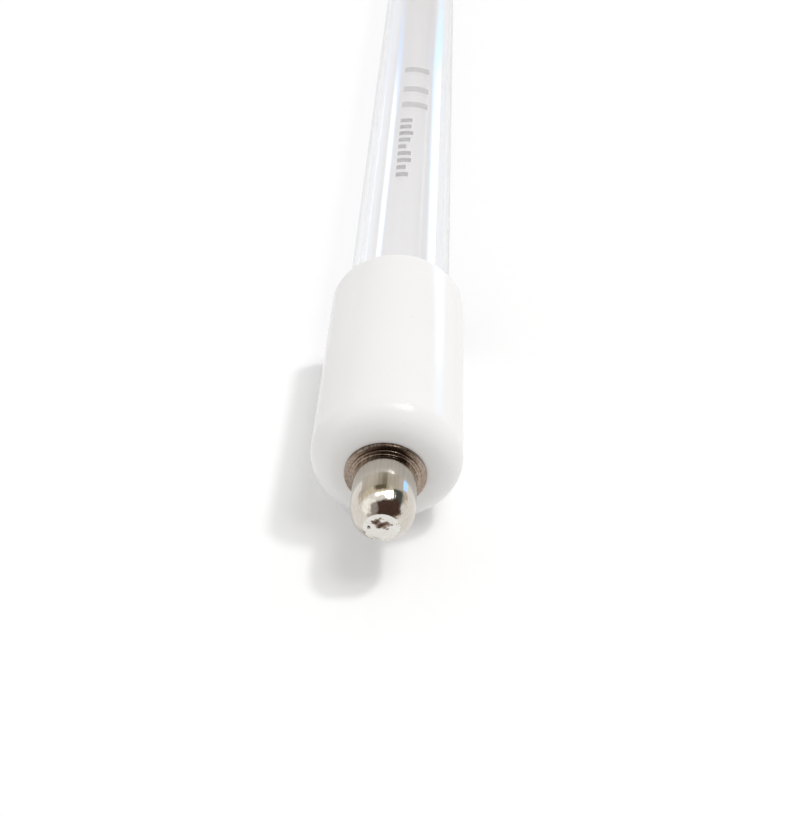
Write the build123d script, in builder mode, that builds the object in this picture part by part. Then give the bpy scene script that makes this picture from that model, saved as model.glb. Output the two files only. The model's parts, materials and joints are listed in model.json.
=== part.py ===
from build123d import *
import os
from math import atan, degrees, pi, sqrt

# A straight mercury lamp with one contact pin at each end, lying along Y.
# The origin is the middle of the lamp, and the front end is at -Y.
# Each end is modelled in its own plane: the origin is the centre of the cap's
# outer face, Z points into the lamp, Y points up and X runs across the seal.
# Left and right are as seen by someone who faces that end.

# Lamp
face_to_face = 357.0
tube_diameter = 15.0
tube_wall = 1.0

# Ceramic cap
cap_wall = 1.7
cap_length = 36.0
cap_face_wall = 5.0
cap_face_round = 3.3
cap_back_chamfer = 0.8
cement_gap = 0.5
cement_recess = 0.4

# Contact pin, turned, with a stepped flange and a tail riveted over a washer
pin_diameter = 8.0
pin_projection = 10.0
pin_bore = 2.0
tip_hole_diameter = 4.5
solder_depth = 1.4
solder_crown = 0.35
collar_diameter = 9.0
collar_height = 0.75
flange_diameter = 10.36
flange_thickness = 0.5
flange_chamfer = 0.15
tail_diameter = 5.0
tail_wall = 0.6
flare_diameter = 6.4
washer_diameter = 8.0
washer_thickness = 0.5

# Wires, and the strip that joins them inside the cap
lead_wire_diameter = 0.8
outer_lead_diameter = 0.7
inner_lead_diameter = 0.8
lead_spacing = 7.0
weld_length = 1.5
strip_width = 3.8
strip_gap = 0.6
strip_thickness = 0.3
strip_margin = 0.8

# Press seal of the quartz tube, with its foils
seal_start = 14.5
seal_length = 10.5
seal_thickness = 3.4
shoulder_length = 6.0
foil_width = 3.0
foil_length = 7.0
foil_thickness = 0.15

# Exhaust tube, melted shut
exhaust_diameter = 2.6
exhaust_bore = 1.0
exhaust_stub = 1.9

# Cathode
cathode_depth = 33.6
coil_radius = 0.6
coil_wire_flats = 0.36
coil_pitch = 0.9
coil_turns = 4
coil_leg_bend = 0.4
lead_overrun = 0.8

# Mercury
mercury_radius = 0.6
mercury_sag = 0.15
mercury_place = 60.0

tube_radius = tube_diameter / 2
bore_radius = tube_radius - tube_wall
cap_bore_radius = tube_radius + cement_gap
cap_radius = cap_bore_radius + cap_wall
pin_radius = pin_diameter / 2
tip_hole_radius = tip_hole_diameter / 2
dome_center = pin_radius - pin_projection
tip_rim = dome_center - sqrt(pin_radius**2 - tip_hole_radius**2)
solder_back = tip_rim + solder_depth
washer_back = cap_face_wall + washer_thickness
tail_end = washer_back + tail_wall
stub_center = seal_start - exhaust_stub
strip_end = stub_center - exhaust_diameter / 2 - strip_gap
strip_start = strip_end - strip_width
seal_end = seal_start + seal_length
round_start = seal_end + shoulder_length
foil_start = seal_start + (seal_length - foil_length) / 2
foil_end = foil_start + foil_length
coil_slope = atan(2 * pi * coil_radius / coil_pitch)


def end_plane(side):
    """The plane of one cap's outer face: side is -1 at the front and 1 at the rear."""
    return Plane(origin=(0, side * face_to_face / 2, 0), x_dir=(side, 0, 0), z_dir=(0, -side, 0))


def long_section(end):
    """The upright plane through the lamp's axis: X runs into the lamp and Y points up."""
    return Plane(origin=end.origin, x_dir=end.z_dir, z_dir=-end.x_dir)


def lamp_axis(end):
    return Axis(end.origin, end.z_dir)


def band(start, stop, inner, outer, mode=Mode.ADD):
    """A rectangle of a long section: start to stop into the lamp, inner to outer from its axis."""
    with Locations((start, inner)):
        Rectangle(stop - start, outer - inner, align=(Align.MIN, Align.MIN), mode=mode)


def finish(piece, name):
    piece.part.label = name
    export_step(piece.part, f"parts/{name}.step")


def make_ceramic_cap(end):
    with BuildPart(end) as cap:
        Cylinder(cap_radius, cap_length, align=(Align.CENTER, Align.CENTER, Align.MIN))
        with Locations((0, 0, cap_length)):
            CounterBoreHole(tail_diameter / 2, cap_bore_radius, cap_length - cap_face_wall)
        rims = cap.edges().filter_by(GeomType.CIRCLE).group_by(SortBy.RADIUS)[-1]
        face_rim, back_rim = rims.sort_by(lamp_axis(end))
        fillet(face_rim, cap_face_round)
        chamfer(back_rim, cap_back_chamfer)
    return cap


def make_contact_pin(end):
    with BuildPart() as pin:
        with BuildSketch(long_section(end)) as profile:
            # Outside: dome, straight wall, collar, flange, tail and the tail's flare
            with Locations((dome_center, 0)):
                Circle(pin_radius)
            band(dome_center, 0, 0, pin_radius)
            band(-collar_height, 0, 0, collar_diameter / 2)
            band(-flange_thickness, 0, 0, flange_diameter / 2)
            band(0, tail_end, 0, tail_diameter / 2)
            band(washer_back, tail_end, 0, flare_diameter / 2)
            # Inside: cup for the solder, bore for the wire, and the hollow of the tail
            band(-pin_projection, solder_back, 0, tip_hole_radius, Mode.SUBTRACT)
            band(solder_back, 0, 0, pin_bore / 2, Mode.SUBTRACT)
            band(0, tail_end, 0, tail_diameter / 2 - tail_wall, Mode.SUBTRACT)
            band(-pin_projection, tail_end, 0, flange_diameter / 2, Mode.INTERSECT)
            rim = profile.vertices().group_by(Axis.Y)[-1].sort_by(Axis.X)[0]
            chamfer(rim, flange_chamfer)
        revolve(axis=lamp_axis(end))
    return pin


def make_pin_washer(end):
    with BuildPart() as washer:
        with BuildSketch(end.offset(cap_face_wall)):
            Circle(washer_diameter / 2)
            Circle(tail_diameter / 2, mode=Mode.SUBTRACT)
        extrude(amount=washer_thickness)
    return washer


def make_wire(end, across, start, stop, diameter):
    """A straight wire along the lamp, at across from its axis."""
    with BuildPart() as wire:
        with BuildSketch(end.offset(start)):
            with Locations((across, 0)):
                Circle(diameter / 2)
        extrude(amount=stop - start)
    return wire


def make_flat(end, across, start, stop, level):
    """The metal that is pressed away from a wire where it is welded: all of it below level."""
    with BuildPart() as flat:
        with BuildSketch(end.offset(start)):
            with Locations((across, level)):
                Rectangle(foil_width, foil_width, align=(Align.CENTER, Align.MAX))
        extrude(amount=stop - start)
    return flat


def make_lead_wire(end):
    """The wire on the axis, from inside the solder to its weld on the strip."""
    start = solder_back - solder_depth / 2
    weld_end = strip_start + weld_length
    with BuildPart() as lead:
        add(make_wire(end, 0, start, weld_end, lead_wire_diameter).part)
        flat = make_flat(end, 0, strip_start, weld_end, strip_thickness / 2)
        add(flat.part, mode=Mode.SUBTRACT)
    return lead


def make_solder_tip(end, lead_wire):
    """The solder fills the cup in the pin's tip and stands out in a low crown."""
    crown_top = tip_rim - solder_crown
    crown_radius = (tip_hole_radius**2 + solder_crown**2) / (2 * solder_crown)
    with BuildPart() as solder:
        with BuildSketch(long_section(end)):
            band(crown_top, solder_back, 0, tip_hole_radius)
            with Locations((crown_top + crown_radius, 0)):
                Circle(crown_radius, mode=Mode.INTERSECT)
        revolve(axis=lamp_axis(end))
        add(lead_wire.part, mode=Mode.SUBTRACT)
    return solder


def make_bridge_strip(end):
    """The strip that joins both outer leads to the wire from the pin."""
    with BuildPart() as strip:
        with BuildSketch(end.offset(strip_start)):
            Rectangle(lead_spacing + outer_lead_diameter + 2 * strip_margin, strip_thickness)
        extrude(amount=strip_width)
        fillet(strip.edges().filter_by(Axis.Z), strip_margin)
    return strip


def make_outer_lead(end, hand):
    """One wire from its weld on the strip to its weld on the foil in the seal."""
    across = hand * lead_spacing / 2
    start = strip_end - weld_length
    stop = foil_start + weld_length
    with BuildPart() as lead:
        add(make_wire(end, across, start, stop, outer_lead_diameter).part)
        strip_flat = make_flat(end, across, start, strip_end, strip_thickness / 2)
        foil_flat = make_flat(end, across, foil_start, stop, foil_thickness / 2)
        add([strip_flat.part, foil_flat.part], mode=Mode.SUBTRACT)
    return lead


def make_foil(end, hand):
    with BuildPart() as foil:
        with BuildSketch(end.offset(foil_start)):
            with Locations((hand * lead_spacing / 2, 0)):
                Rectangle(foil_width, foil_thickness)
        extrude(amount=foil_length)
    return foil


def make_inner_lead(end, hand, cathode_coil):
    """One wire from its weld on the foil to a tip that is clenched round the filament's leg."""
    across = hand * lead_spacing / 2
    start = foil_end - weld_length
    stop = cathode_depth + lead_overrun
    with BuildPart() as lead:
        add(make_wire(end, across, start, stop, inner_lead_diameter).part)
        foil_flat = make_flat(end, across, start, foil_end, foil_thickness / 2)
        add([foil_flat.part, cathode_coil.part], mode=Mode.SUBTRACT)
    return lead


def make_cathode_coil(end):
    """The filament: a helix across the seal, bent at each side into a straight leg."""
    half_length = coil_pitch * coil_turns / 2
    leg_end = (lead_spacing + inner_lead_diameter) / 2
    middle = end.origin + end.z_dir * cathode_depth - end.y_dir * coil_radius
    with BuildPart() as coil:
        with BuildLine() as route:
            turns = Helix(
                coil_pitch,
                2 * half_length,
                coil_radius,
                center=middle - Vector(half_length, 0, 0),
                direction=(1, 0, 0),
            )
            first_bend = JernArc(turns @ 0, -(turns % 0), coil_leg_bend, degrees(coil_slope))
            last_bend = JernArc(turns @ 1, turns % 1, coil_leg_bend, degrees(coil_slope))
            Line(first_bend @ 1, (-leg_end, (first_bend @ 1).Y, (first_bend @ 1).Z))
            Line(last_bend @ 1, (leg_end, (last_bend @ 1).Y, (last_bend @ 1).Z))
        wire = route.wire()
        with BuildSketch(Plane(origin=wire @ 0, x_dir=(0, 1, 0), z_dir=wire % 0)):
            RegularPolygon(coil_wire_flats / 2, side_count=6, major_radius=False)
        sweep(path=wire)
    return coil


def make_cap_cement(end):
    """The ring of cement between the round tube and the cap, just short of the cap's mouth."""
    with BuildPart() as cement:
        with BuildSketch(end.offset(round_start)):
            Circle(cap_bore_radius)
            Circle(tube_radius, mode=Mode.SUBTRACT)
        extrude(amount=cap_length - cement_recess - round_start)
    return cement


def pressed_outline(start, press_end, half_flat, radius):
    """Side view, as seen along X, of a round bar pressed flat at both ends."""
    middle = face_to_face / 2
    flat = Line((start - middle, half_flat), (press_end - middle, half_flat))
    shoulder_middle = press_end + shoulder_length / 2 - middle
    shoulder = Bezier(
        flat @ 1,
        (shoulder_middle, half_flat),
        (shoulder_middle, radius),
        (press_end + shoulder_length - middle, radius),
    )
    Line(shoulder @ 1, (0, radius))
    Line(flat @ 0, (start - middle, 0))


def make_pressed_bar(start, press_end, half_flat, radius):
    """A round bar over the whole lamp, pressed flat between start and press_end at each end."""
    with BuildPart() as bar:
        with BuildSketch(Plane.YZ):
            with BuildLine():
                pressed_outline(start, press_end, half_flat, radius)
                mirror(about=Plane.YZ)
                mirror(about=Plane.XZ)
            make_face()
        extrude(amount=radius, both=True)
        with BuildSketch(Plane.XZ):
            Circle(radius)
        extrude(amount=face_to_face / 2, both=True, mode=Mode.INTERSECT)
    return bar


def make_glass_tube(end, sealed_in):
    """The quartz envelope, pressed flat round its foils and wires; its exhaust tube is at end."""
    half_seal = seal_thickness / 2
    outside = make_pressed_bar(seal_start, seal_end, half_seal, tube_radius)
    inside = make_pressed_bar(seal_end, seal_end + tube_wall, half_seal - tube_wall, bore_radius)
    with BuildPart() as tube:
        add(outside.part)
        # Exhaust tube, fused in the seal between the foils and melted shut at its tip
        with BuildSketch(long_section(end)):
            with Locations((stub_center, 0)):
                Circle(exhaust_diameter / 2)
            band(stub_center, seal_end, 0, exhaust_diameter / 2)
            band(0, seal_end, 0, exhaust_diameter / 2, Mode.INTERSECT)
        revolve(axis=lamp_axis(end))
        add(inside.part, mode=Mode.SUBTRACT)
        with BuildSketch(end.offset(stub_center)):
            Circle(exhaust_bore / 2)
        extrude(amount=seal_end + tube_wall - stub_center, mode=Mode.SUBTRACT)
        for piece in sealed_in:
            add(piece.part, mode=Mode.SUBTRACT)
    return tube


def make_mercury_drop():
    """A bead of mercury, settled on the inside of the glass."""
    with BuildPart() as drop:
        with Locations((0, mercury_place, mercury_radius - mercury_sag - bore_radius)):
            Sphere(mercury_radius)
        with BuildSketch(Plane.XZ):
            Circle(bore_radius)
        extrude(amount=face_to_face / 2, both=True, mode=Mode.INTERSECT)
    return drop


ends = {"front": end_plane(-1), "rear": end_plane(1)}
hands = {"left": 1, "right": -1}
sealed_in = []
os.makedirs("parts", exist_ok=True)

for name, end in ends.items():
    cathode_coil = make_cathode_coil(end)
    for hand_name, hand in hands.items():
        outer_lead = make_outer_lead(end, hand)
        inner_lead = make_inner_lead(end, hand, cathode_coil)
        foil = make_foil(end, hand)
        finish(outer_lead, f"{name}_outer_lead_{hand_name}")
        finish(inner_lead, f"{name}_inner_lead_{hand_name}")
        finish(foil, f"{name}_foil_{hand_name}")
        sealed_in += [outer_lead, foil, inner_lead]
    lead_wire = make_lead_wire(end)
    finish(make_ceramic_cap(end), f"{name}_ceramic_cap")
    finish(make_cap_cement(end), f"{name}_cap_cement")
    finish(make_contact_pin(end), f"{name}_contact_pin")
    finish(make_pin_washer(end), f"{name}_pin_washer")
    finish(lead_wire, f"{name}_lead_wire")
    finish(make_solder_tip(end, lead_wire), f"{name}_solder_tip")
    finish(make_bridge_strip(end), f"{name}_bridge_strip")
    finish(cathode_coil, f"{name}_cathode_coil")

finish(make_glass_tube(ends["rear"], sealed_in), "glass_tube")
finish(make_mercury_drop(), "mercury_drop")
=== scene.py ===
import json
from math import acos, asin, cos, pi, radians, sin

import bpy
from mathutils import Matrix, Vector, noise


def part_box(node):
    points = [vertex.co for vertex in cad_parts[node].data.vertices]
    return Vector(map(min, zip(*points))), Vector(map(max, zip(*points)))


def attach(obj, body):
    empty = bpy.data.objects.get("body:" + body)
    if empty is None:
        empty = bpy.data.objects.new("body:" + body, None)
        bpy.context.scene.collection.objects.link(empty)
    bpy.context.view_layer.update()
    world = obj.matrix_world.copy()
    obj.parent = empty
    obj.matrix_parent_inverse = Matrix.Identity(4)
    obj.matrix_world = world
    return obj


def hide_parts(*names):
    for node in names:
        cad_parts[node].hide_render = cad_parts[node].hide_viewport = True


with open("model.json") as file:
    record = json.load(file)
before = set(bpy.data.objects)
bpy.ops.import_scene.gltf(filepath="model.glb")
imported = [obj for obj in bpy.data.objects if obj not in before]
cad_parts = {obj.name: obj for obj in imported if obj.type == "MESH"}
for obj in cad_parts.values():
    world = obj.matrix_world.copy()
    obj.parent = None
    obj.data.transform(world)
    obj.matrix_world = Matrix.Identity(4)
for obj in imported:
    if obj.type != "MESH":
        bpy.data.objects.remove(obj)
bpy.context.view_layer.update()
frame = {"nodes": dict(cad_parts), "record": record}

# Sizes from the frame, in metres. The lamp lies along Y with its front end at -Y, and a
# depth goes into the lamp from the face of the cap at either end
MM = 0.001
cap_low, cap_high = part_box("front_ceramic_cap")
pin_low, pin_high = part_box("front_contact_pin")
solder_low, solder_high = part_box("front_solder_tip")
cement_low, cement_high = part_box("front_cap_cement")
cap_face = -cap_low.y
cap_length = cap_high.y - cap_low.y
cap_radius = cap_high.z
cap_bore_radius = cement_high.z
tube_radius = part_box("glass_tube")[1].z
flange_radius = pin_high.z
tip_rim_depth = cap_face + pin_low.y
tail_end = cap_face + pin_high.y
solder_crown_depth = cap_face + solder_low.y
solder_bed_depth = cap_face + solder_high.y
cement_start = cap_face + cement_low.y
cement_end = cap_face + cement_high.y
floor_level = cap_low.z

# Ceramic cap
cap_face_wall = 5.0 * MM
cap_face_round = 3.3 * MM
cap_back_round = 0.9 * MM
cap_mouth_round = 0.25 * MM
cap_bottom_round = 0.3 * MM
tail_hole_round = 0.1 * MM

# Contact pin, from its tip to its tail
pin_radius = 4.0 * MM
tip_hole_radius = 2.25 * MM
pin_bore_radius = 1.0 * MM
dome_steps = 17
collar_radius = 4.5 * MM
collar_height = 0.75 * MM
collar_round = 0.1 * MM
shank_foot_round = 0.12 * MM
flange_thickness = 0.5 * MM
flange_round = 0.16 * MM
tail_radius = 2.5 * MM
tail_wall = 0.6 * MM
tail_outer_round = 0.15 * MM
tail_inner_round = 0.1 * MM
flare_radius = 3.2 * MM
washer_back = 5.5 * MM

# Solder in the pin's tip. Its bead and its pit are placed across the lamp and up from its
# axis. It sinks below the pin's rim: a little at the bottom, and more from sink_start upwards
solder_rings = 40
bead_middle = Vector((-0.15 * MM, -0.6 * MM))
bead_radius = 2.0 * MM
bead_height = 0.44 * MM
least_sink = 0.02 * MM
sink_slope = 0.2
sink_start = -1.0 * MM
lump_height = 0.1 * MM
lump_scale = 560.0
lump_place = 9.0 * MM
pit = Vector((-1.5 * MM, -0.1 * MM))
pit_radius = 0.2 * MM
pit_depth = 0.35 * MM

# Cement
cement_round = 0.1 * MM
wipe_depth = 0.25 * MM
wipe_scale = 900.0

# Quartz tube, its press seals and the stub of its exhaust tube
tube_wall = 1.0 * MM
tube_rows = 150
seal_start = 14.5 * MM
seal_end = 25.0 * MM
seal_thickness = 3.4 * MM
shoulder_length = 6.0 * MM
exhaust_radius = 1.3 * MM
exhaust_tip_depth = 11.3 * MM
exhaust_tip_round = 1.17 * MM

# Filament: a fine coil, the strand, that winds round in a few wide turns
filament_depth = 33.6 * MM
filament_reach = 3.9 * MM
filament_radius = 0.6 * MM
filament_pitch = 0.9 * MM
filament_turns = 4
strand_radius = 0.13 * MM
strand_turns = 34
wire_radius = 0.04 * MM
wire_sides = 6
wire_points = 2600

# Print on the tube: a line of plain bars and three blocks. They start at a distance from the
# front cap's face and run between two angles in degrees from the top. A bar's edges are shares
# of the room that it has along the line, and its least height is a share of the line's
line_start = 62.0 * MM
line_length = 22.0 * MM
line_bars = 9
line_angles = (-12.0, 7.0)
bar_edges = (0.14, 0.72)
bar_least_height = 0.55
block_starts = (87.9 * MM, 94.4 * MM, 103.0 * MM)
block_length = 2.2 * MM
block_angles = (-12.0, 24.0)
block_strength = 0.6

# Points round each turned piece, how near to each other points are made one, and the angles
# from which an edge is shaded sharp
turns = 128
weld_distance = 1e-7
turned_crease = radians(32)
tube_crease = radians(40)

# Light: each sun has a name, the direction to it, its energy and its width in degrees
ambient = 0.585
floor_lift = 0.1
suns = (
    ("window_light", Vector((0.48, 0.24, 1.0)), 0.66, 6.5),
    ("high_light", Vector((0.35, 0.09, 1.0)), 0.72, 28.0),
    ("front_fill", Vector((-0.7, -0.5, 0.5)), 0.24, 60.0),
)

# Camera
lens = 50.7
camera_place = Vector((0.0057, -0.2828, 0.0979))
camera_forward = Vector((-0.029, 0.767, -0.641))
camera_up = Vector((-0.03, 0.64, 0.768))


def srgb(red, green, blue):
    """A colour given in 0 to 255 steps, as the linear colour that the shaders take."""
    steps = (c / 255 for c in (red, green, blue))
    return (*(s / 12.92 if s <= 0.04045 else ((s + 0.055) / 1.055) ** 2.4 for s in steps), 1.0)


white = srgb(255, 255, 255)

# What metal and glass show of the room: soft patches on white. Each has its azimuth right of
# +Y, its elevation, width, height and soft edge in degrees, its colour and its strength
room_patches = (
    (0, 60, 170, 36, 5, srgb(226, 216, 196), 1.0),
    (0, 28, 140, 38, 5, srgb(210, 203, 193), 1.0),
    (-10, 55, 34, 22, 4, srgb(112, 102, 84), 1.0),
    (80, 38, 54, 32, 5, srgb(84, 90, 84), 1.0),
    (172, 10, 120, 22, 5, srgb(150, 132, 120), 1.0),
    (165, 42, 108, 64, 5, srgb(80, 62, 54), 1.0),
    (-14, 82, 46, 11, 2, srgb(255, 252, 244), 2.4),
    (33, 5, 25, 14, 1.5, srgb(140, 186, 240), 2.6),
    (31, 5, 14, 8, 2, white, 4.0),
    (55, 58, 3, 7, 0.7, white, 30.0),
)
# Behind the camera the plain light is a little darker and warmer
dim_patch = (165, 25, 110, 60, 20)
dim_share = 0.2
dim_colour = srgb(150, 125, 110)


class Value:
    """A socket's value in a node tree. Maths on it adds the nodes that work it out."""

    def __init__(self, tree, socket):
        self.tree = tree
        self.socket = socket

    def __add__(self, other):
        return self.tree.maths("ADD", self, other)

    def __radd__(self, other):
        return self.tree.maths("ADD", other, self)

    def __sub__(self, other):
        return self.tree.maths("SUBTRACT", self, other)

    def __rsub__(self, other):
        return self.tree.maths("SUBTRACT", other, self)

    def __mul__(self, other):
        return self.tree.maths("MULTIPLY", self, other)

    def __rmul__(self, other):
        return self.tree.maths("MULTIPLY", other, self)

    def __truediv__(self, other):
        return self.tree.maths("DIVIDE", self, other)

    def __neg__(self):
        return self.tree.maths("MULTIPLY", self, -1.0)

    def __abs__(self):
        return self.tree.maths("ABSOLUTE", self)

    def __lt__(self, other):
        return self.tree.maths("LESS_THAN", self, other)

    def __gt__(self, other):
        return self.tree.maths("GREATER_THAN", self, other)

    def at_least(self, other):
        return self.tree.maths("MAXIMUM", self, other)

    def at_most(self, other):
        return self.tree.maths("MINIMUM", self, other)

    def between(self, start, stop):
        """1 where the value lies between start and stop, and 0 elsewhere."""
        return (self > start) * (self < stop)

    def rise(self, start, stop):
        """0 up to start, 1 from stop on, and smooth between them."""
        inputs = {"Value": self, "From Min": start, "From Max": stop}
        return self.tree.node("ShaderNodeMapRange", inputs, interpolation_type="SMOOTHSTEP")


class Tree:
    """Adds nodes to a node tree."""

    def __init__(self, tree):
        self.tree = tree

    def node(self, kind, inputs=None, output=0, **settings):
        """One node: its settings first, then its sockets' values or links."""
        node = self.tree.nodes.new(kind)
        for name, setting in settings.items():
            setattr(node, name, setting)
        for name, value in (inputs or {}).items():
            if isinstance(value, Value):
                self.tree.links.new(value.socket, node.inputs[name])
            elif isinstance(value, tuple) and isinstance(value[0], Value):
                for each in value:
                    self.tree.links.new(each.socket, node.inputs[name])
            else:
                node.inputs[name].default_value = value
        return Value(self, node.outputs[output]) if len(node.outputs) else None

    def maths(self, operation, *numbers):
        return self.node("ShaderNodeMath", dict(enumerate(numbers)), operation=operation)

    def axis(self, vector, name):
        """The X, Y or Z of a vector."""
        return self.node("ShaderNodeSeparateXYZ", {"Vector": vector}, name)

    def blend(self, factor, first, second):
        """The colour that goes from first to second as factor goes from 0 to 1."""
        inputs = {"Factor": factor, 6: first, 7: second}
        return self.node("ShaderNodeMix", inputs, 2, data_type="RGBA")

    def mix(self, factor, first, second):
        """The shader that goes from first to second as factor goes from 0 to 1."""
        return self.node("ShaderNodeMixShader", {0: factor, 1: first, 2: second})

    def rays(self, *kinds):
        """1 for rays of the named kinds, and 0 for others."""
        found = 0.0
        for kind in kinds:
            found = found + self.node("ShaderNodeLightPath", output=f"Is {kind} Ray")
        return found.at_most(1.0)


class Finish(Tree):
    """A material, read in the lamp's own coordinates."""

    def __init__(self, name):
        self.material = bpy.data.materials.new(name)
        self.material.use_nodes = True
        super().__init__(self.material.node_tree)
        self.tree.nodes.clear()
        self.place = self.node("ShaderNodeTexCoord", output="Object")
        self.x, self.y, self.z = (self.axis(self.place, name) for name in "XYZ")

    def grain(self, scale, detail=3.0, stretch=(1.0, 1.0, 1.0)):
        """Noise with features of about 1 / scale metres, longer where stretch is below 1."""
        place = self.node("ShaderNodeMapping", {"Vector": self.place, "Scale": stretch})
        inputs = {"Vector": place, "Scale": scale, "Detail": detail}
        return self.node("ShaderNodeTexNoise", inputs)

    def relief(self, height, distance):
        inputs = {"Height": height, "Distance": distance, "Strength": 1.0}
        return self.node("ShaderNodeBump", inputs)

    def principled(self, **inputs):
        named = {name.replace("_", " "): value for name, value in inputs.items()}
        return self.node("ShaderNodeBsdfPrincipled", named)

    def finish(self, shader):
        self.node("ShaderNodeOutputMaterial", {"Surface": shader})
        return self.material


def glazed_ceramic():
    glaze = Finish("glazed_ceramic")
    body = glaze.blend(glaze.grain(90.0), srgb(243, 242, 240), srgb(247, 246, 245))
    specks = glaze.grain(2600.0, 2.0).rise(0.66, 0.74) * 0.2
    return glaze.finish(glaze.principled(
        Base_Color=glaze.blend(specks, body, srgb(218, 212, 202)),
        Roughness=0.15 + 0.06 * glaze.grain(420.0),
        Specular_IOR_Level=0.15,
        Coat_Weight=0.14,
        Coat_Roughness=0.03,
        Normal=glaze.relief(glaze.grain(160.0, 2.0), 0.02 * MM)))


def fired_cement():
    cement = Finish("fired_cement")
    return cement.finish(cement.principled(
        Base_Color=cement.blend(cement.grain(1800.0, 5.0), srgb(196, 190, 178), srgb(226, 221, 210)),
        Roughness=0.9,
        Normal=cement.relief(cement.grain(5200.0, 4.0), 0.1 * MM)))


def plated_pin():
    """Bright nickel plate, drawn along the pin, scored at its collar and tarnished on the flange, whose
    top is painted darker as a painted dark reflection.
    """
    plate = Finish("plated_pin")
    height = abs(plate.y) - cap_face
    streaks = plate.grain(3600.0, 3.0, (1.0, 0.05, 1.0))
    cloud = plate.grain(700.0)
    near_flange = 1.0 - height.rise(collar_height * 0.9, collar_height * 1.6)
    near_collar = 1.0 - height.rise(collar_height, collar_height * 2.8)
    tarnish = near_flange * (0.7 + 0.25 * cloud)
    scored = streaks.rise(0.42, 0.6) * (0.1 + 0.8 * near_collar)
    # Painted dark reflection: the flange's colour is painted darker towards its top
    painted_reflection_top = (plate.z / flange_radius).rise(0.3, 1.0)
    metal = plate.blend(cloud, srgb(218, 214, 207), srgb(204, 197, 185))
    worn = plate.blend(scored, metal, srgb(120, 100, 76))
    # The flange's tarnish, with a painted dark reflection towards its top
    tarnish_and_painted_reflection = plate.blend(painted_reflection_top, srgb(154, 136, 122), srgb(98, 80, 68))
    return plate.finish(plate.principled(
        Base_Color=plate.blend(tarnish, worn, tarnish_and_painted_reflection),
        Metallic=1.0,
        Roughness=0.07 + 0.07 * streaks + 0.12 * tarnish,
        Normal=plate.relief(streaks, 0.02 * MM)))


def soft_solder():
    """Bright solder with stains of flux."""
    solder = Finish("soft_solder")
    cloud = solder.grain(1500.0, 4.0)
    flux = solder.grain(1700.0, 2.0).rise(0.64, 0.7)
    metal = solder.blend(cloud, srgb(236, 234, 230), srgb(206, 202, 194))
    return solder.finish(solder.principled(
        Base_Color=solder.blend(flux * 0.6, metal, srgb(120, 96, 84)),
        Metallic=1.0 - flux * 0.4,
        Roughness=0.08 + 0.12 * cloud,
        Normal=solder.relief(solder.grain(2000.0, 2.0), 0.03 * MM)))


def streaked_metal(name, dull, bright, roughness, stretch):
    """Drawn, rolled or turned metal, with streaks along the axis that stretch is least on."""
    metal = Finish(name)
    streaks = metal.grain(1900.0, 3.0, stretch)
    return metal.finish(metal.principled(
        Base_Color=metal.blend(streaks, dull, bright),
        Metallic=1.0,
        Roughness=roughness + 0.15 * streaks,
        Normal=metal.relief(streaks, 0.02 * MM)))


def liquid_mercury():
    mercury = Finish("liquid_mercury")
    skin = mercury.grain(900.0, 1.0)
    return mercury.finish(mercury.principled(
        Base_Color=mercury.blend(skin, srgb(222, 223, 226), srgb(200, 201, 206)),
        Metallic=1.0,
        Roughness=0.03 + 0.06 * skin))


def printed(quartz):
    """How strongly the print covers the glass: a line of bars of uneven height, and three blocks."""
    along = quartz.y + cap_face
    angle = quartz.maths("ARCTAN2", quartz.x, quartz.z) * (180 / pi)
    radius = quartz.maths("SQRT", quartz.x * quartz.x + quartz.z * quartz.z)
    bars_along = (along - line_start) / (line_length / line_bars)
    bar = quartz.maths("FLOOR", bars_along)
    random = quartz.node("ShaderNodeTexWhiteNoise", {"W": bar}, noise_dimensions="1D")
    height = bar_least_height + (1.0 - bar_least_height) * random
    bar_top = line_angles[0] + (line_angles[1] - line_angles[0]) * height
    in_bar = quartz.maths("FRACT", bars_along).between(*bar_edges) * (angle < bar_top)
    in_line = along.between(line_start, line_start + line_length) * angle.between(*line_angles)
    marks = in_line * in_bar
    for start in block_starts:
        block = along.between(start, start + block_length) * angle.between(*block_angles)
        marks = marks + block * block_strength
    outside = radius > tube_radius - tube_wall / 2
    wear = 0.35 + 0.3 * quartz.grain(1500.0)
    return (marks * outside * wear).at_most(1.0)


def quartz_glass():
    """Clear quartz with a faint print, its colour painted a darker bluish grey towards the tube's sides
    as seen, a painted shade. Lamps shine through it, a little less at the tube's sides.
    """
    quartz = Finish("quartz_glass")
    shimmer = quartz.grain(60.0, 2.0, (1.0, 0.15, 1.0))
    edge = quartz.node("ShaderNodeLayerWeight", {"Blend": 0.3}, "Facing")
    # Painted shade: the colour goes to a darker bluish grey towards the tube's sides as seen
    glass = quartz.principled(
        Base_Color=quartz.blend(edge.rise(0.25, 0.95), srgb(252, 252, 253), srgb(234, 237, 243)),
        Roughness=0.012 + 0.02 * shimmer,
        IOR=1.458,
        Transmission_Weight=1.0,
        Normal=quartz.relief(shimmer, 0.002 * MM))
    ink = quartz.principled(Base_Color=srgb(120, 120, 124), Roughness=0.55)
    seen = quartz.mix(printed(quartz), glass, ink)
    middle = quartz.node("ShaderNodeBsdfTransparent", {"Color": (0.98, 0.98, 0.985, 1.0)})
    side = quartz.node("ShaderNodeBsdfTransparent", {"Color": (0.74, 0.75, 0.77, 1.0)})
    lit_through = quartz.mix(edge.rise(0.3, 0.95), middle, side)
    return quartz.finish(quartz.mix(quartz.rays("Shadow", "Diffuse"), seen, lit_through))


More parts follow.
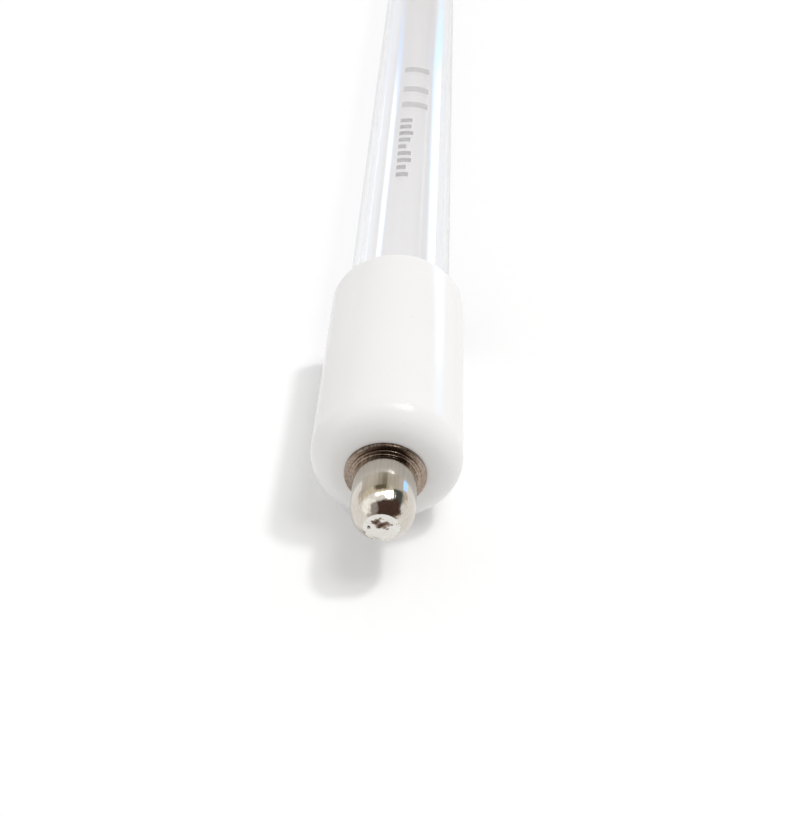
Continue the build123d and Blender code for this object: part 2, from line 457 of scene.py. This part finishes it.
def floor_paper():
    """Near white, and lifted to full white for the eye, in metal and through glass."""
    paper = Finish("floor_paper")
    sheet = paper.principled(
        Base_Color=paper.blend(paper.grain(900.0, 4.0), srgb(243, 243, 243), srgb(246, 246, 246)),
        Roughness=1.0,
        Specular_IOR_Level=0.0)
    lift = paper.rays("Camera", "Glossy", "Transmission") * floor_lift
    glow = paper.node("ShaderNodeEmission", {"Color": white, "Strength": lift})
    return paper.finish(paper.node("ShaderNodeAddShader", {0: sheet, 1: glow}))


# Slot, colours of the streaks, least roughness and the streaks' stretch
even = (1.0, 1.0, 1.0)
along_lamp = (1.0, 0.05, 1.0)
across_lamp = (0.05, 1.0, 1.0)
streaked_metals = (
    ("washer_steel", srgb(150, 150, 150), srgb(190, 190, 190), 0.35, even),
    ("nickel_wire", srgb(168, 164, 156), srgb(200, 196, 188), 0.3, along_lamp),
    ("strip_metal", srgb(176, 172, 164), srgb(206, 202, 194), 0.32, across_lamp),
    ("molybdenum_wire", srgb(132, 132, 135), srgb(168, 168, 170), 0.35, along_lamp),
    ("molybdenum_foil", srgb(140, 140, 144), srgb(178, 178, 182), 0.28, along_lamp),
    ("tungsten", srgb(84, 84, 88), srgb(118, 118, 122), 0.45, across_lamp),
)

# One material for each slot of the record
materials = {slot: streaked_metal(slot, *look) for slot, *look in streaked_metals}
materials["glazed_ceramic"] = glazed_ceramic()
materials["cement"] = fired_cement()
materials["nickel_plate"] = plated_pin()
materials["solder"] = soft_solder()
materials["mercury"] = liquid_mercury()
materials["quartz"] = quartz_glass()


def dress_solids():
    """Gives every CAD solid the material of its slot."""
    for subpart in frame["record"]["subparts"]:
        solid = frame["nodes"][subpart["node"]]
        solid.data.materials.clear()
        solid.data.materials.append(materials[subpart["material_slot"]])


def settle(piece, replaced):
    """Attaches a finished piece to the root body and hides the solid that replaced names, whose place it
    takes.
    """
    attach(piece, "root")
    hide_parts(replaced)


def rounded(corners, step=radians(6)):
    """A closed outline through corners of (depth, radius, round), with arcs at the rounds."""
    outline = []
    for i, (depth, radius, size) in enumerate(corners):
        corner = Vector((depth, radius))
        if not size:
            outline.append(corner)
            continue
        to_last = (Vector(corners[i - 1][:2]) - corner).normalized()
        to_next = (Vector(corners[(i + 1) % len(corners)][:2]) - corner).normalized()
        half = acos(max(-1.0, min(1.0, to_last.dot(to_next)))) / 2
        reach = size / sin(half) * cos(half)
        centre = corner + (to_last + to_next).normalized() * size / sin(half)
        start = corner + to_last * reach - centre
        stop = corner + to_next * reach - centre
        swing = start.angle_signed(stop)
        arcs = max(2, int(abs(swing) / step))
        outline += [centre + Matrix.Rotation(-swing * k / arcs, 2) @ start for k in range(arcs + 1)]
    return outline


def merged(points, faces):
    """The same surface with points that meet made one, and the faces that vanish left out."""
    kept = []
    numbers = {}
    index = []
    for point in points:
        place = tuple(round(c / weld_distance) for c in point)
        if place not in numbers:
            numbers[place] = len(kept)
            kept.append(point)
        index.append(numbers[place])
    corners = (list(dict.fromkeys(index[i] for i in face)) for face in faces)
    return kept, [face for face in corners if len(face) > 2]


def turned(name, side, outline, slot, replaced, shift=None):
    """A piece turned about the lamp's axis, at the front for a side of -1 and at the rear for 1.

    The closed outline holds (depth, radius). Shift, if given, moves a depth by its angle too.
    """
    angles = [2 * pi * k / turns for k in range(turns)]
    points = []
    for depth, radius in outline:
        for angle in angles:
            shifted = shift(depth, radius, angle) if shift else depth
            points.append((-side * radius * cos(angle), side * (cap_face - shifted), radius * sin(angle)))
    faces = []
    for row in range(len(outline)):
        low = row * turns
        high = (row + 1) % len(outline) * turns
        for k in range(turns):
            after = (k + 1) % turns
            faces.append((low + k, high + k, high + after, low + after))
    points, faces = merged(points, faces)
    mesh = bpy.data.meshes.new(name)
    mesh.from_pydata(points, [], faces)
    mesh.materials.append(materials[slot])
    mesh.validate()
    mesh.shade_smooth()
    mesh.set_sharp_from_angle(angle=turned_crease)
    piece = bpy.data.objects.new(name, mesh)
    bpy.context.scene.collection.objects.link(piece)
    settle(piece, replaced)


def make_ceramic_cap(end, side):
    outline = rounded([
        (0, tail_radius, tail_hole_round),
        (0, cap_radius, cap_face_round),
        (cap_length, cap_radius, cap_back_round),
        (cap_length, cap_bore_radius, cap_mouth_round),
        (cap_face_wall, cap_bore_radius, cap_bottom_round),
        (cap_face_wall, tail_radius, tail_hole_round),
    ])
    turned(f"{end}_cap_glaze", side, outline, "glazed_ceramic", f"{end}_ceramic_cap")


def make_contact_pin(end, side):
    rim = asin(tip_hole_radius / pin_radius)
    dome_depth = tip_rim_depth + pin_radius * cos(rim)
    dome_angles = (rim + (pi / 2 - rim) * i / dome_steps for i in range(dome_steps + 1))
    dome = [Vector((dome_depth - pin_radius * cos(a), pin_radius * sin(a))) for a in dome_angles]
    shank_and_bore = rounded([
        (dome_depth / 2, pin_radius, 0),
        (-collar_height, pin_radius, shank_foot_round),
        (-collar_height, collar_radius, collar_round),
        (-flange_thickness, collar_radius, 0),
        (-flange_thickness, flange_radius, flange_round),
        (0, flange_radius, 0),
        (0, tail_radius, 0),
        (washer_back, tail_radius, 0),
        (washer_back, flare_radius, 0),
        (tail_end, flare_radius, tail_outer_round),
        (tail_end, tail_radius - tail_wall, tail_inner_round),
        (0, tail_radius - tail_wall, 0),
        (0, pin_bore_radius, 0),
        (solder_bed_depth, pin_bore_radius, 0),
        (solder_bed_depth, tip_hole_radius, 0),
    ])
    turned(f"{end}_plated_pin", side, dome + shank_and_bore, "nickel_plate", f"{end}_contact_pin")


def make_solder_tip(end, side):
    """Solder that set in the pin's tip in a soft, lumpy bead with a pit."""
    crown = tip_rim_depth - solder_crown_depth

    def crowned(depth, radius, angle):
        if depth == solder_bed_depth:
            return depth
        spot = Vector((radius * cos(angle), radius * sin(angle)))
        off_rim = min(1.0, (1 - radius / tip_hole_radius) * 4)
        lumps = noise.fractal(Vector((spot.x, spot.y, lump_place)) * lump_scale, 0.9, 2.0, 3)
        bead = max(0.0, 1 - ((spot - bead_middle).length / bead_radius) ** 2) ** 2
        hole = max(0.0, 1 - (spot - pit).length / pit_radius) ** 0.7
        sink = least_sink + sink_slope * max(0.0, spot.y - sink_start)
        height = bead_height * bead - sink + lump_height * lumps * off_rim
        return depth - min(crown, height - pit_depth * hole)

    outline = [(tip_rim_depth, tip_hole_radius * i / solder_rings) for i in range(solder_rings + 1)]
    outline += [(solder_bed_depth, tip_hole_radius), (solder_bed_depth, 0.0)]
    turned(f"{end}_solder_bead", side, outline, "solder", f"{end}_solder_tip", crowned)


def make_cap_cement(end, side):
    """The ring of cement, with the uneven surface that it was wiped off to."""

    def wiped(depth, radius, angle):
        spot = Vector((radius * cos(angle), radius * sin(angle), depth))
        return depth - wipe_depth * abs(noise.noise(spot * wipe_scale)) if depth > cement_start else depth

    outline = rounded([
        (cement_start, tube_radius, 0),
        (cement_start, cap_bore_radius, 0),
        (cement_end, cap_bore_radius, cement_round),
        (cement_end, tube_radius, cement_round),
    ])
    turned(f"{end}_cement_ring", side, outline, "cement", f"{end}_cap_cement", wiped)


def make_exhaust_stub(side):
    """The stub of the exhaust tube, melted to a round tip at one press seal."""
    outline = rounded([
        (exhaust_tip_depth, 0, 0),
        (exhaust_tip_depth, exhaust_radius, exhaust_tip_round),
        (seal_start, exhaust_radius, 0),
        (seal_start, 0, 0),
    ])
    turned("exhaust_stub", side, outline, "quartz", "glass_tube")


class Recipe(Tree):
    """A Geometry Nodes group with named sizes that makes one smooth mesh."""

    def __init__(self, name, sizes):
        super().__init__(bpy.data.node_groups.new(name, "GeometryNodeTree"))
        for size in sizes:
            self.add_socket(size, "INPUT", "Float")
        self.add_socket("Material", "INPUT", "Material")
        self.add_socket("Geometry", "OUTPUT", "Geometry")
        self.sizes = [self.node("NodeGroupInput", output=size) for size in sizes]

    def add_socket(self, name, way, kind):
        self.tree.interface.new_socket(name=name, in_out=way, socket_type=f"NodeSocket{kind}")

    def vector(self, **parts):
        return self.node("ShaderNodeCombineXYZ", parts)

    def finish(self, geometry):
        smooth = self.node("GeometryNodeSetShadeSmooth", {"Geometry": geometry})
        real = self.node("GeometryNodeRealizeInstances", {"Geometry": smooth})
        material = self.node("NodeGroupInput", output="Material")
        done = self.node("GeometryNodeSetMaterial", {"Geometry": real, "Material": material})
        self.node("NodeGroupOutput", {"Geometry": done})
        return self.tree


def grown(name, group, slot, sizes):
    """The plain mesh that a recipe makes from the named sizes."""
    piece = bpy.data.objects.new(name, bpy.data.meshes.new(name))
    bpy.context.scene.collection.objects.link(piece)
    modifier = piece.modifiers.new(name, "NODES")
    modifier.node_group = group
    values = {**sizes, "Material": materials[slot]}
    for socket in group.interface.items_tree:
        if socket.in_out == "INPUT":
            modifier[socket.identifier] = values[socket.name]
    depsgraph = bpy.context.evaluated_depsgraph_get()
    mesh = bpy.data.meshes.new_from_object(piece.evaluated_get(depsgraph))
    piece.modifiers.clear()
    piece.data = mesh
    return piece


def pressed_shell(tube, half_length, radius, half_flat, shoulder, press):
    """One closed surface along Y, round in the middle and pressed flat at both ends."""
    grid = tube.node("GeometryNodeMeshGrid", {
        "Size X": 1.0, "Size Y": 1.0, "Vertices X": turns + 1, "Vertices Y": tube_rows})
    position = tube.node("GeometryNodeInputPosition")
    around = (tube.axis(position, "X") + 0.5) * (2 * pi)
    row = (tube.axis(position, "Y") + 0.5) * (tube_rows - 1)
    # The first and the last row lie on the axis and close the ends
    open_ring = row.between(0.5, tube_rows - 1.5)
    share = ((row - 1.0) / (tube_rows - 3.0)).at_least(0.0).at_most(1.0) * 2.0 - 1.0
    # Half of the rows are on the straight middle, and half on the two ends
    zone = press + shoulder
    straight = half_length - zone
    reach = abs(share) * 2.0
    from_middle = reach.at_most(1.0) * straight + (reach - 1.0).at_least(0.0) * zone
    pressed = (from_middle - straight).rise(0.0, shoulder)
    flat = radius + (half_flat - radius) * pressed
    across = radius * tube.maths("COSINE", around)
    up = (radius * tube.maths("SINE", around)).at_most(flat).at_least(-flat)
    along = from_middle * tube.maths("SIGN", share)
    place = tube.vector(X=across * open_ring, Y=along, Z=up * open_ring)
    shell = tube.node("GeometryNodeSetPosition", {"Geometry": grid, "Position": place})
    return tube.node("GeometryNodeMergeByDistance", {"Geometry": shell, "Distance": weld_distance})


def tube_recipe():
    """The quartz envelope: its outside and, turned round, its bore."""
    names = ("Half length", "Radius", "Wall", "Seal length", "Half seal", "Shoulder")
    tube = Recipe("pressed_tube", names)
    half_length, radius, wall, seal, half_seal, shoulder = tube.sizes
    outside = pressed_shell(tube, half_length, radius, half_seal, shoulder, seal)
    bore = pressed_shell(tube, half_length - seal, radius - wall, half_seal - wall, shoulder, wall)
    skin = tube.node("GeometryNodeFlipFaces", {"Mesh": outside})
    return tube.finish(tube.node("GeometryNodeJoinGeometry", {"Geometry": (skin, bore)}))


def make_glass_tube():
    tube = grown("quartz_envelope", tube_recipe(), "quartz", {
        "Half length": cap_face - seal_start,
        "Radius": tube_radius,
        "Wall": tube_wall,
        "Seal length": seal_end - seal_start,
        "Half seal": seal_thickness / 2,
        "Shoulder": shoulder_length,
    })
    tube.data.set_sharp_from_angle(angle=tube_crease)
    settle(tube, "glass_tube")


def filament_recipe():
    """A coiled coil across the lamp: a strand of fine turns that winds round in wide turns."""
    names = ("Reach", "Turns", "Pitch", "Radius", "Strand radius", "Strand turns", "Wire", "Place")
    coil = Recipe("coiled_coil", names)
    reach, wide_turns, pitch, radius, strand, fine_turns, wire, place = coil.sizes
    start = coil.vector(X=-reach)
    stop = coil.vector(X=reach)
    line = coil.node("GeometryNodeCurvePrimitiveLine", {"Start": start, "End": stop})
    points = coil.node("GeometryNodeResampleCurve", {"Curve": line, "Count": wire_points})
    across = coil.axis(coil.node("GeometryNodeInputPosition"), "X")
    # From the middle, 1 is where the wide turns end and the straight legs begin
    from_middle = across / (wide_turns * pitch / 2.0)
    turned_share = ((from_middle + 1.0) / 2.0).at_least(0.0).at_most(1.0)
    wide = turned_share * wide_turns * (2 * pi)
    fine = wide * fine_turns
    strand_share = 1.0 - abs(from_middle).rise(0.94, 1.0)
    out = radius + strand * strand_share * coil.maths("COSINE", fine)
    moved = coil.vector(
        X=across + strand * strand_share * coil.maths("SINE", fine),
        Y=out * coil.maths("SINE", wide) + place,
        Z=out * coil.maths("COSINE", wide) - radius)
    path = coil.node("GeometryNodeSetPosition", {"Geometry": points, "Position": moved})
    section = coil.node("GeometryNodeCurvePrimitiveCircle", {"Resolution": wire_sides, "Radius": wire})
    return coil.finish(coil.node("GeometryNodeCurveToMesh", {
        "Curve": path, "Profile Curve": section, "Fill Caps": True}))


def make_filament(end, side, group):
    filament = grown(f"{end}_filament", group, "tungsten", {
        "Reach": filament_reach,
        "Turns": filament_turns,
        "Pitch": filament_pitch,
        "Radius": filament_radius,
        "Strand radius": strand_radius,
        "Strand turns": strand_turns,
        "Wire": wire_radius,
        "Place": side * (cap_face - filament_depth),
    })
    settle(filament, f"{end}_cathode_coil")


ends = (("front", -1), ("rear", 1))
dress_solids()
for end, side in ends:
    make_ceramic_cap(end, side)
    make_contact_pin(end, side)
    make_solder_tip(end, side)
    make_cap_cement(end, side)
make_exhaust_stub(1)
make_glass_tube()
coil_group = filament_recipe()
for end, side in ends:
    make_filament(end, side, coil_group)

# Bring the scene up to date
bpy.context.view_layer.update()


# Stage


def make_floor():
    reach = 4.0
    corners = [(-reach, -reach), (reach, -reach), (reach, reach), (-reach, reach)]
    mesh = bpy.data.meshes.new("floor")
    mesh.from_pydata([(x, y, floor_level) for x, y in corners], [], [(0, 1, 2, 3)])
    mesh.materials.append(floor_paper())
    floor = bpy.data.objects.new("floor", mesh)
    bpy.context.scene.collection.objects.link(floor)


def toward(azimuth, elevation):
    """The direction at azimuth degrees right of +Y, and elevation degrees above the floor."""
    turn = radians(azimuth)
    lift = radians(elevation)
    return Vector((sin(turn) * cos(lift), cos(turn) * cos(lift), sin(lift)))


def patch_mask(sky, direction, azimuth, elevation, width, height, soft):
    """1 in one patch of the room, fading to 0 over its soft edge."""
    forward = toward(azimuth, elevation)
    right = forward.cross(Vector((0, 0, 1))).normalized()
    up = right.cross(forward)
    ahead, aside, above = (
        sky.node("ShaderNodeVectorMath", {0: direction, 1: axis}, "Value", operation="DOT_PRODUCT")
        for axis in (forward, right, up))
    mask = 1.0
    for offset, size in ((aside, width), (above, height)):
        angle = abs(sky.maths("ARCTAN2", offset, ahead)) * (180 / pi)
        mask = mask * (1.0 - angle.rise(size / 2 - soft, size / 2 + soft))
    return mask


def make_world():
    """Full white for the eye, the room for metal and glass, and plain light for all else."""
    world = bpy.data.worlds.new("studio")
    bpy.context.scene.world = world
    world.use_nodes = True
    world.node_tree.nodes.clear()
    sky = Tree(world.node_tree)
    direction = sky.node("ShaderNodeTexCoord", output="Generated")
    mottle = 0.78 + 0.44 * sky.node("ShaderNodeTexNoise", {"Vector": direction, "Scale": 5.0})
    room = white
    for *patch, colour, strength in room_patches:
        tone = {0: [c * strength for c in colour[:3]], "Scale": mottle}
        shade = sky.node("ShaderNodeVectorMath", tone, operation="SCALE")
        room = sky.blend(patch_mask(sky, direction, *patch), room, shade)
    dim = dim_share * patch_mask(sky, direction, *dim_patch) * (1.0 - sky.rays("Camera"))
    plain = sky.blend(dim, white, dim_colour)
    colour = sky.blend(sky.rays("Glossy", "Transmission"), plain, room)
    strength = ambient + sky.rays("Camera", "Glossy", "Transmission") * (1.0 - ambient)
    background = sky.node("ShaderNodeBackground", {"Color": colour, "Strength": strength})
    sky.node("ShaderNodeOutputWorld", {"Surface": background})


def make_sun(name, direction, energy, width):
    lamp = bpy.data.lights.new(name, "SUN")
    lamp.energy = energy
    lamp.angle = radians(width)
    sun = bpy.data.objects.new(name, lamp)
    bpy.context.scene.collection.objects.link(sun)
    sun.rotation_euler = direction.to_track_quat("Z", "Y").to_euler()


def make_camera():
    data = bpy.data.cameras.new("camera")
    data.lens = lens
    data.clip_start = 0.005
    camera = bpy.data.objects.new("camera", data)
    bpy.context.scene.collection.objects.link(camera)
    forward = camera_forward.normalized()
    right = forward.cross(camera_up).normalized()
    up = right.cross(forward)
    turn = Matrix((right, up, -forward)).transposed()
    camera.matrix_world = Matrix.Translation(camera_place) @ turn.to_4x4()
    bpy.context.scene.camera = camera


make_floor()
make_world()
for sun in suns:
    make_sun(*sun)
make_camera()
bpy.context.scene.view_settings.view_transform = "Standard"
